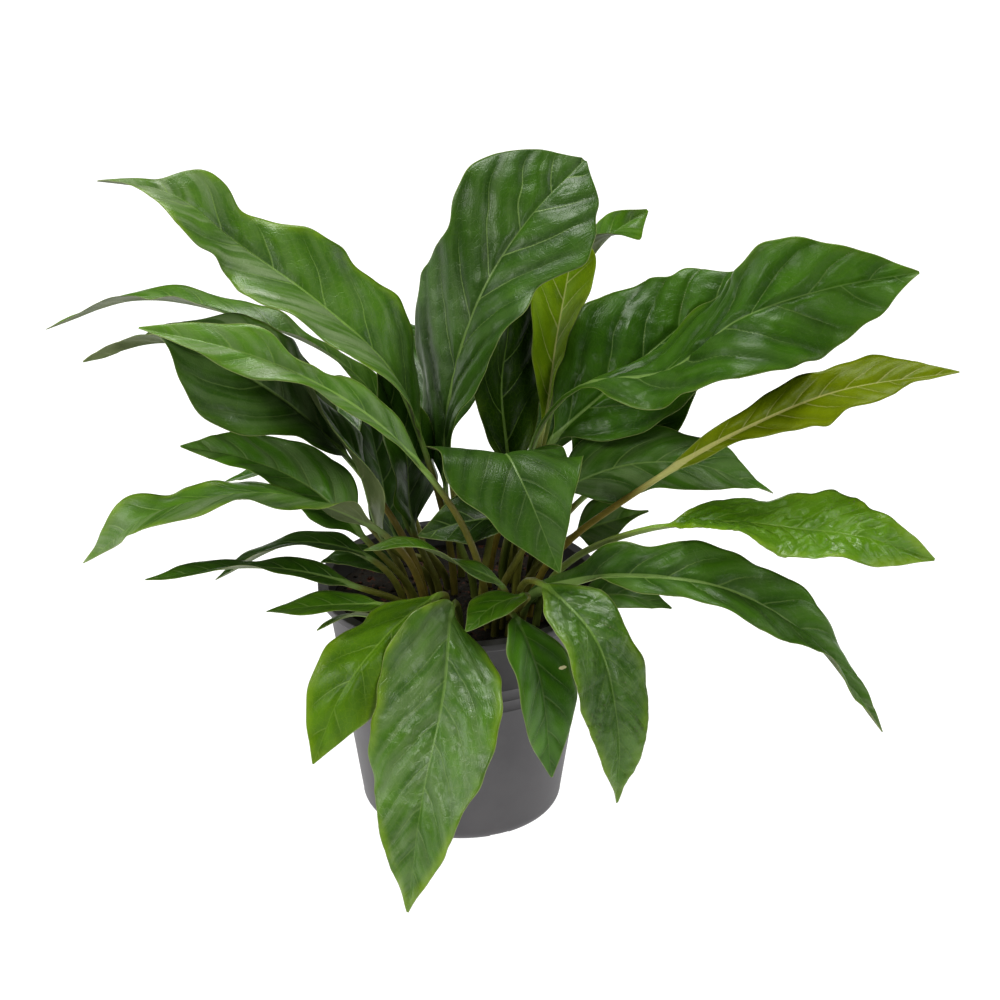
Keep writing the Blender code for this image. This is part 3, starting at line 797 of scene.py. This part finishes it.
def runSmoothly(values, places, wanted):
    # A smooth curve through the values at the given places.
    steps = np.diff(places)
    shape = (-1,) + (1,) * (values.ndim - 1)
    rises = np.diff(values, axis=0) / steps.reshape(shape)
    weight = (steps[:-1] / (steps[:-1] + steps[1:])).reshape(shape)
    inner = rises[:-1] * (1 - weight) + rises[1:] * weight
    slopes = np.concatenate([rises[:1], inner, rises[-1:]])
    i = np.clip(np.searchsorted(places, wanted, side="right") - 1, 0, len(steps) - 1)
    f = ((wanted - places[i]) / steps[i]).reshape(shape)
    span = steps[i].reshape(shape)
    made = values[i] * (2 * f**3 - 3 * f**2 + 1) + values[i + 1] * (3 * f**2 - 2 * f**3)
    return made + (slopes[i] * (f**3 - 2 * f**2 + f) + slopes[i + 1] * (f**3 - f**2)) * span


def smoothStep(x):
    x = np.clip(x, 0, 1)
    return x * x * (3 - 2 * x)


def unevenness(x, y, size, seed):
    # Smooth random heights between -1 and 1, on a grid with its points this far apart.
    columns, rows = 64, 256
    table = np.random.RandomState(seed).rand(columns, rows) * 2 - 1
    x, y = x / size + columns / 2, y / size + 8
    i, j = np.floor(x).astype(int), np.floor(y).astype(int)
    f, g = smoothStep(x - i), smoothStep(y - j)
    nextI, nextJ = (i + 1) % columns, (j + 1) % rows
    i, j = i % columns, j % rows
    low = table[i, j] * (1 - f) + table[nextI, j] * f
    high = table[i, nextJ] * (1 - f) + table[nextI, nextJ] * f
    return low * (1 - g) + high * g


def leafFrame(rings, shape):
    # Midrib line, directions, half width and lift of the CAD leaf at each of its rings.
    half = rings.shape[1] // 2
    top, low = rings[:, :half], rings[:, half:][:, ::-1]
    middle = half // 2
    count = len(rings) - 1 - shape["stalkRings"]
    share = (np.arange(len(rings)) - shape["stalkRings"]) / count
    flat = smoothStep(share / shape["flatten"])[:, None]
    up = top[:, middle] - low[:, middle]
    stalk = lengths(up) / 2
    stalk[shape["stalkRings"] + 1:] = stalk[shape["stalkRings"]]
    up = up / lengths(up)
    side = top[:, -1] + low[:, -1] - top[:, 0] - low[:, 0]
    side = side - up * (side * up).sum(-1, keepdims=True)
    side = side / lengths(side)
    centre = top[:, middle] - up * (stalk * (1 - flat) + shape["cadHalf"] * flat)
    sheet = (top + low) / 2 - centre[:, None]
    out = (sheet * side[:, None]).sum(-1)
    lift = (sheet * up[:, None]).sum(-1)
    lift[:, middle] = 0
    if half == 3:
        # A slim leaf's rings have three points across, so its quarter points are put between.
        lift = np.stack([lift[:, 0], 0.6 * lift[:, 0], lift[:, 1], 0.6 * lift[:, 2], lift[:, 2]], 1)
    wide = (out[:, -1:] - out[:, :1]) / 2 - (1 - flat) * stalk * cos(pi * 0.5 / half)
    # Columns: centre 0 to 2, side 3 to 5, up 6 to 8, stalk 9, flat 10, wide 11, lift 12 to 16.
    return np.concatenate([centre, side, up, stalk, flat, wide, lift], 1), share


def withLobes(values, rows, along, right, weight):
    # Adds this leaf's own lobes, each with its height on the right and on the left.
    for middle, spread, toRight, toLeft in rows:
        height = np.where(right, toRight, toLeft) * mm * weight
        values = values + height * np.exp(-(((along - middle) / spread) ** 2))
    return values


def bladeWidth(wide, along, onBlade, right, winged, look):
    # Half width of the blade on each side of the midrib.
    foot = np.where(right, look["foot"][0], look["foot"][1]) * mm
    wide = wide + foot * winged ** 0.6 * (1 - smoothStep((onBlade - 0.1) / 0.3))
    return np.maximum(withLobes(wide, look["bumps"], along, right, 1), 0)


def veinPlaces(across, run, a, number, phase, shape):
    # Side veins run forward from the midrib and bend on towards the tip. All points of one
    # vein have the same value here: the place at which it leaves the midrib.
    (patch, patchSize), (wave, waveLength), (cross, crossLength) = shape["drift"]
    drift = patch * unevenness(across, run, patchSize, number + 90)
    drift = drift + wave * np.sin(run / waveLength + phase)
    drift = drift + cross * np.sin(across / crossLength + phase)
    reach = np.abs(across)
    return run - shape["slant"] * reach - shape["sweep"] * reach * a + drift


def bladeRelief(vein, across, run, v, onBlade, number, shape, look):
    # Swellings between the side veins, and small dents where the leaf is wrinkled.
    a, reach, wrinkle = np.abs(v), np.abs(across), look["wrinkle"]
    beat = vein / (look["spacing"] * mm) + shape["stagger"] * (v > 0)
    swell = (np.abs(np.sin(pi * beat)) ** 0.55 - 0.65) * (1.2 - wrinkle)
    broad, small = 12 - 6 * wrinkle, 6 - 3 * wrinkle   # mm
    quilt = 0.7 * unevenness(0.45 * across, vein, broad * mm, number)
    quilt = quilt + 0.5 * unevenness(across, run, 0.7 * broad * mm, number + 30)
    quilt = quilt + 0.35 * unevenness(0.6 * across, vein, small * mm, number + 50)
    calm = smoothStep(reach / (5 * mm)) * (1 - 0.75 * a**3)
    calm = calm * smoothStep(onBlade / 0.1) * smoothStep((1 - onBlade) / 0.08)
    return look["pucker"] * mm * (swell + quilt * wrinkle) * calm


def leafMesh(name, upper, lower, plan, real):
    # A closed skin round the blade and stalk, with the places that its material reads.
    rows, lanes = upper.shape[:2]
    ring = 2 * lanes
    points = np.concatenate([upper, lower[:, ::-1]], 1).reshape(-1, 3)
    start = np.arange(rows - 1)[:, None] * ring
    k = np.arange(ring)[None]
    n = (k + 1) % ring
    quads = np.stack([start + k, start + n, start + ring + n, start + ring + k], -1).reshape(-1, 4)
    faces = [tuple(q) for q in quads.tolist()]
    faces.append(tuple(range(ring))[::-1])
    faces.append(tuple(range((rows - 1) * ring, rows * ring)))
    mesh = bpy.data.meshes.new(name)
    mesh.from_pydata(points.tolist(), [], faces)
    mesh.flip_normals()
    mesh.shade_smooth()
    face = np.concatenate([np.ones((rows, lanes)), -np.ones((rows, lanes))], 1)
    for label, values in (("leafPlan", plan), ("leafReal", real)):
        both = np.concatenate([values, values[:, ::-1]], 1)
        mesh.attributes.new(label, "FLOAT_VECTOR", "POINT").data.foreach_set("vector", both.ravel())
    mesh.attributes.new("leafFace", "FLOAT", "POINT").data.foreach_set("value", face.ravel())
    return mesh


def fineLeaf(name, node, number, shape, look):
    # Fine rings through the CAD rings, from the buried end of the stalk to the tip.
    data, share = leafFrame(readRings(node), shape)
    walk = np.concatenate([[0], np.cumsum(lengths(np.diff(data[:, :3], axis=0))[:, 0])])
    bladeStart = walk[shape["stalkRings"]]
    length = walk[-1] - bladeStart
    stalkPlaces = np.linspace(0, bladeStart, shape["stalkSteps"] + 1)[:-1]
    bladePlaces = bladeStart + np.linspace(0, length, int(length / shape["step"]))
    places = np.concatenate([stalkPlaces, bladePlaces])
    fine = runSmoothly(data, walk, places)
    centre, side, up = fine[:, None, :3], fine[:, None, 3:6], fine[:, None, 6:9]
    side = side / lengths(side)
    up = up - side * (up * side).sum(-1, keepdims=True)
    up = up / lengths(up)
    stalk, flat, wide = fine[:, 9:10], np.clip(fine[:, 10:11], 0, 1), np.maximum(fine[:, 11:12], 0)
    run = (places - bladeStart)[:, None]
    along = np.interp(places, walk, share)[:, None]
    onBlade = np.clip(along, 0, 1)

    # Lanes from the right margin, where v is -1, over the midrib to the left one, where it is 1.
    lanes = max(9, int(wide.max() / shape["lane"]) * 2 + 3)
    even = np.linspace(-1, 1, lanes)
    v = np.sign(even) * np.abs(even) ** shape["crowding"]
    turn = pi - pi * (np.arange(lanes) + 0.5) / lanes
    right = v < 0
    a = np.abs(v)

    # A slightly uneven outline, each side and each leaf on its own.
    phase = 1.9 * number
    winged = np.clip((along - look["wing"]) / (0.07 - look["wing"]), 0, 1)
    wide = bladeWidth(wide, along, onBlade, right, winged, look)
    (short, shortLength), (long, longLength) = shape["outlineWaves"]
    uneven = short * np.sin(run / shortLength + phase + 2 * right)
    uneven = uneven + long * np.sin(run / longLength + 2 * phase * right)
    grown = v * wide * (1 + look["ragged"] * uneven * a * smoothStep(onBlade / 0.1))
    out = (1 - flat) * stalk * np.cos(turn) + grown

    # Lift of the blade: a curve through the middle, quarter and margin of each half.
    lifts = fine[:, 12:17]
    quarter, margin = np.where(right, 1, 3), np.where(right, 0, 4)
    lift = lifts[:, quarter] * 4 * a * (1 - a) + lifts[:, margin] * a * (2 * a - 1)

    # Relief of the veins, the midrib's groove and the margin's ruffle.
    flat = np.maximum(flat, smoothStep(winged * (max(look["foot"]) > 0)))
    across = v * np.maximum(wide, 0.5 * mm)
    reach = np.abs(across)
    vein = veinPlaces(across, run, a, number, phase, shape)
    relief = bladeRelief(vein, across, run, v, onBlade, number, shape, look)
    wave = np.sin(run / shape["ruffleLength"] + 3 * phase + 1.3 * (v > 0))
    ruffle = shape["ruffle"] * a**4 * wave * np.sin(pi * onBlade)
    groove = -shape["groove"] * look["pucker"] * np.exp(-(reach / shape["grooveWidth"]) ** 2) * flat
    height = withLobes(lift + relief + ruffle + groove, look["curls"], along, right, a**2)

    thick = (shape["half"] * (1 - a**3) + shape["edgeHalf"] * a**3) * flat
    rib = shape["ribDepth"] * (1 - onBlade) * np.exp(-(reach / shape["ribWidth"]) ** 2) * flat
    bulge = (1 - flat) * stalk * np.sin(turn)
    upper = centre + side * out[..., None] + up * (bulge + height + thick)[..., None]
    lower = centre + side * out[..., None] + up * (height - bulge - thick - rib)[..., None]

    # What the material reads at each point.
    toMargin = (1 - a) * np.maximum(wide, 0.1 * mm)
    plan = np.stack([vein + 0 * across, v + 0 * across, along + 0 * across], -1)
    real = np.stack([across, toMargin + 0 * across, run + 0 * across], -1)
    return leafMesh(name, upper, lower, plan, real)


def readAttribute(tree, label, output):
    node = tree.nodes.new("ShaderNodeAttribute")
    node.attribute_name = label
    return node.outputs[output]


def partsOf(tree, vector):
    node = tree.nodes.new("ShaderNodeSeparateXYZ")
    tree.links.new(vector, node.inputs[0])
    return node.outputs


def leafPlaces(tree):
    # Where a point lies on its leaf. vein is the place at which its vein leaves the midrib,
    # across runs from -1 at the right margin to 1 at the left, share from 0 to 1 up the blade.
    at = SimpleNamespace(object=objectPlace(tree), real=readAttribute(tree, "leafReal", "Vector"))
    at.vein, at.across, at.share = partsOf(tree, readAttribute(tree, "leafPlan", "Vector"))
    at.sideways, at.toMargin = partsOf(tree, at.real)[:2]
    at.off = calc(tree, "ABSOLUTE", at.across)
    at.reach = calc(tree, "ABSOLUTE", at.sideways)
    at.onTop = fade(tree, readAttribute(tree, "leafFace", "Fac"), -0.1, 0.1)
    at.patches = fade(tree, noiseOf(tree, at.object, leafSkin["patches"], 3), 0.35, 0.68)
    alongVeins = tree.nodes.new("ShaderNodeCombineXYZ")
    put(tree, alongVeins.inputs[0], times(tree, at.vein, leafSkin["grainAlong"]))
    put(tree, alongVeins.inputs[1], times(tree, at.sideways, leafSkin["grainAcross"]))
    at.grain = alongVeins.outputs[0]
    return at


def sideVeins(tree, at, look):
    # The veins' strength, and how far a point is from the nearest one, in spacings.
    leftBeat = times(tree, calc(tree, "GREATER_THAN", at.across, 0), leafShape["stagger"])
    beat = plus(tree, leftBeat, calc(tree, "DIVIDE", at.vein, look["spacing"] * mm))
    fromMiddle = calc(tree, "ABSOLUTE", minus(tree, calc(tree, "FRACT", beat), 0.5))
    away = minus(tree, 0.5, fromMiddle)
    width = calc(tree, "DIVIDE", fade(tree, at.off, 0, 1, *leafSkin["veinWidth"]), look["spacing"])
    line = minus(tree, 1, fade(tree, away, times(tree, width, 0.3), width))
    line = times(tree, line, fade(tree, at.off, 0.95, 0.35))
    return times(tree, line, fade(tree, at.share, 0.03, 0.1)), away


def midrib(tree, at, look):
    half = fade(tree, at.share, -0.1, 0.9, look["ribWide"] * mm, leafSkin["ribTip"])
    rib = fade(tree, minus(tree, at.reach, half), 0.3 * mm, -0.2 * mm)
    return times(tree, rib, fade(tree, at.share, 0.2, 1.0, look["rib"], 0.45 * look["rib"]))


def fineNet(tree, at):
    # The smallest veins, a net of cells a few millimetres wide.
    cells = tree.nodes.new("ShaderNodeTexVoronoi")
    cells.feature = "DISTANCE_TO_EDGE"
    cells.inputs["Scale"].default_value = leafSkin["net"]
    tree.links.new(at.real, cells.inputs["Vector"])
    return fade(tree, cells.outputs["Distance"], 0.10, 0.0)


def paintedSheenMask(tree, at, look):
    # Painted sheen: grey-green streaks that stand in for soft reflections, on each half and towards the
    # tip.
    right, left, tip = look["paintedSheen"]
    sheen = mixedValue(tree, calc(tree, "GREATER_THAN", at.across, 0), right, left)
    sheen = calc(tree, "MAXIMUM", sheen, fade(tree, at.share, 0.6, 0.95, 0, tip))
    streaky = fade(tree, noiseOf(tree, at.grain, 0.16, 3), 0.38, 0.62, 0.15, 1)
    return times(tree, times(tree, sheen, streaky), fade(tree, at.off, 1.0, 0.75, 0.3, 1))


def topColour(tree, at, veins, away, net, look):
    colours = leafColours[look["kind"]]
    towardsTip = times(tree, fade(tree, at.share, 0.35, 1.0), look["tip"])
    light = plus(tree, times(tree, at.patches, 0.45), towardsTip)
    # Painted light and shade: lighter on the swellings between the veins and darker in the creases at
    # the veins, less so where it is wrinkled.
    between = times(tree, fade(tree, away, 0.0, 0.4), 0.44 - 0.36 * look["wrinkle"])
    light = calc(tree, "MINIMUM", plus(tree, light, between), 1)
    # The whole leaf is made brighter or darker, partly for its own tone and partly as painted light and
    # shade.
    deep = tuple(c * look["toneAndLight"] for c in colours["deep"])
    bright = tuple(c * look["toneAndLight"] for c in colours["light"])
    colour = mixed(tree, light, deep, bright)
    border = times(tree, fade(tree, at.toMargin, leafSkin["border"], 0.5 * mm), look["edge"])
    broken = fade(tree, noiseOf(tree, at.object, leafSkin["borderPatches"], 3), 0.35, 0.65, 0.15, 1)
    colour = mixed(tree, times(tree, border, broken), colour, colours["margin"])
    colour = mixed(tree, times(tree, net, 0.10), colour, colours["margin"])
    # The painted sheen is laid over the leaf's colour.
    colour = mixed(tree, paintedSheenMask(tree, at, look), colour, leafSkin["sheen"])
    return mixed(tree, times(tree, veins, look["pale"]), colour, colours["vein"])


def underColour(tree, at, veins, top, look):
    under = mixed(tree, at.patches, leafSkin["underDeep"], leafSkin["underLight"])
    under = mixed(tree, times(tree, veins, 0.5), under, leafSkin["underVein"])
    return mixed(tree, look["under"], under, top)


def stalkColour(tree, at, look):
    # Browner and darker towards the soil: partly the stalk's own browning, partly painted shade in the
    # crowded middle of the plant.
    streaks = noiseOf(tree, at.object, leafSkin["streaks"], 3)
    green = mixed(tree, streaks, *leafSkin["greenStalk"])
    brown = mixed(tree, streaks, *leafSkin["brownStalk"])
    brownAndShade = plus(tree, fade(tree, at.share, -0.15, -1.0, 0, 0.4), look["stalk"] * 0.7)
    return mixed(tree, calc(tree, "MINIMUM", brownAndShade, 1), green, brown)


def scratched(tree, at, colour, look):
    # A small dry scratch with a rough outline.
    long, wide = leafSkin["scratchSize"]
    down = calc(tree, "DIVIDE", minus(tree, at.share, look["spot"][0]), long)
    beside = calc(tree, "DIVIDE", minus(tree, at.across, look["spot"][1]), wide)
    far = plus(tree, times(tree, down, down), times(tree, beside, beside))
    far = plus(tree, far, noiseOf(tree, at.object, leafSkin["scratchEdge"], 2))
    return mixed(tree, fade(tree, far, 1.5, 1.1), colour, leafSkin["scratch"])


def leafGloss(tree, shader, at, look):
    # Waxy, broken by fine grain, duller underneath.
    patches = noiseOf(tree, at.object, leafSkin["glossPatches"], 4)
    topRoughness = fade(tree, patches, 0.3, 0.7, *leafSkin["roughRange"])
    roughness = mixedValue(tree, at.onTop, leafSkin["underRoughness"], topRoughness)
    put(tree, shader.inputs["Roughness"], roughness)
    shader.inputs["Specular IOR Level"].default_value = leafSkin["shine"] * look["gloss"]
    shader.inputs["Coat Weight"].default_value = leafSkin["coat"]
    shader.inputs["Coat Roughness"].default_value = leafSkin["coatRoughness"]


def leafGrain(tree, shader, at, veins, net, look):
    # Fine relief: grain along the veins, sunken veins and net, and dents where it is wrinkled.
    ridges = times(tree, noiseOf(tree, at.grain, 1, 3), 0.9)
    height = plus(tree, ridges, times(tree, noiseOf(tree, at.object, leafSkin["grain"], 4), 0.6))
    height = minus(tree, height, times(tree, veins, 0.6))
    height = minus(tree, height, times(tree, net, 0.25))
    height = plus(tree, height, times(tree, noiseOf(tree, at.object, leafSkin["pores"], 2), 0.06))
    dents = noiseOf(tree, at.object, leafSkin["dents"], 3)
    wrinkled = 2.2 * (look["wrinkle"] - usualLeaf["wrinkle"])
    height = plus(tree, height, times(tree, dents, wrinkled))
    bumped(tree, shader, height, leafSkin["reliefStrength"], leafSkin["reliefDepth"])


def leafMaterial(name, look):
    material, tree, shader = newMaterial(name, leafSkin["roughness"])
    at = leafPlaces(tree)
    veins, away = sideVeins(tree, at, look)
    net = fineNet(tree, at)
    top = topColour(tree, at, veins, away, net, look)
    colour = mixed(tree, at.onTop, underColour(tree, at, veins, top, look), top)
    vein = leafColours[look["kind"]]["vein"]
    ribColour = mixed(tree, at.share, tuple(1.3 * c for c in vein), vein)
    colour = mixed(tree, midrib(tree, at, look), colour, ribColour)
    rim = fade(tree, at.toMargin, leafSkin["rimWidth"], 0.2 * mm)
    rim = times(tree, rim, fade(tree, at.share, 0.0, 0.08, 0, 0.6))
    colour = mixed(tree, rim, colour, leafSkin["rim"])
    onStalk = fade(tree, at.share, look["wing"] + 0.015, look["wing"] - 0.05)
    colour = mixed(tree, onStalk, colour, stalkColour(tree, at, look))
    if look["spot"]:
        colour = scratched(tree, at, colour, look)
    put(tree, shader.inputs["Base Color"], colour)
    leafGloss(tree, shader, at, look)
    leafGrain(tree, shader, at, veins, net, look)
    return material


def makeLeaves():
    names = sorted(name for name in frame["nodes"] if name.startswith("leaf_"))
    faces = 0
    for number, name in enumerate(names):
        look = {**usualLeaf, **leafLooks.get(name, {})}
        mesh = fineLeaf(name + "_fine", bpy.data.objects[name], number, leafShape, look)
        addPiece(name + "_fine", mesh, leafMaterial(name + "_skin", look), name)
        faces += len(mesh.polygons)
    return len(names), faces


leafCount, leafFaces = makeLeaves()
print("stage: leaves,", leafCount, "with", leafFaces, "faces")
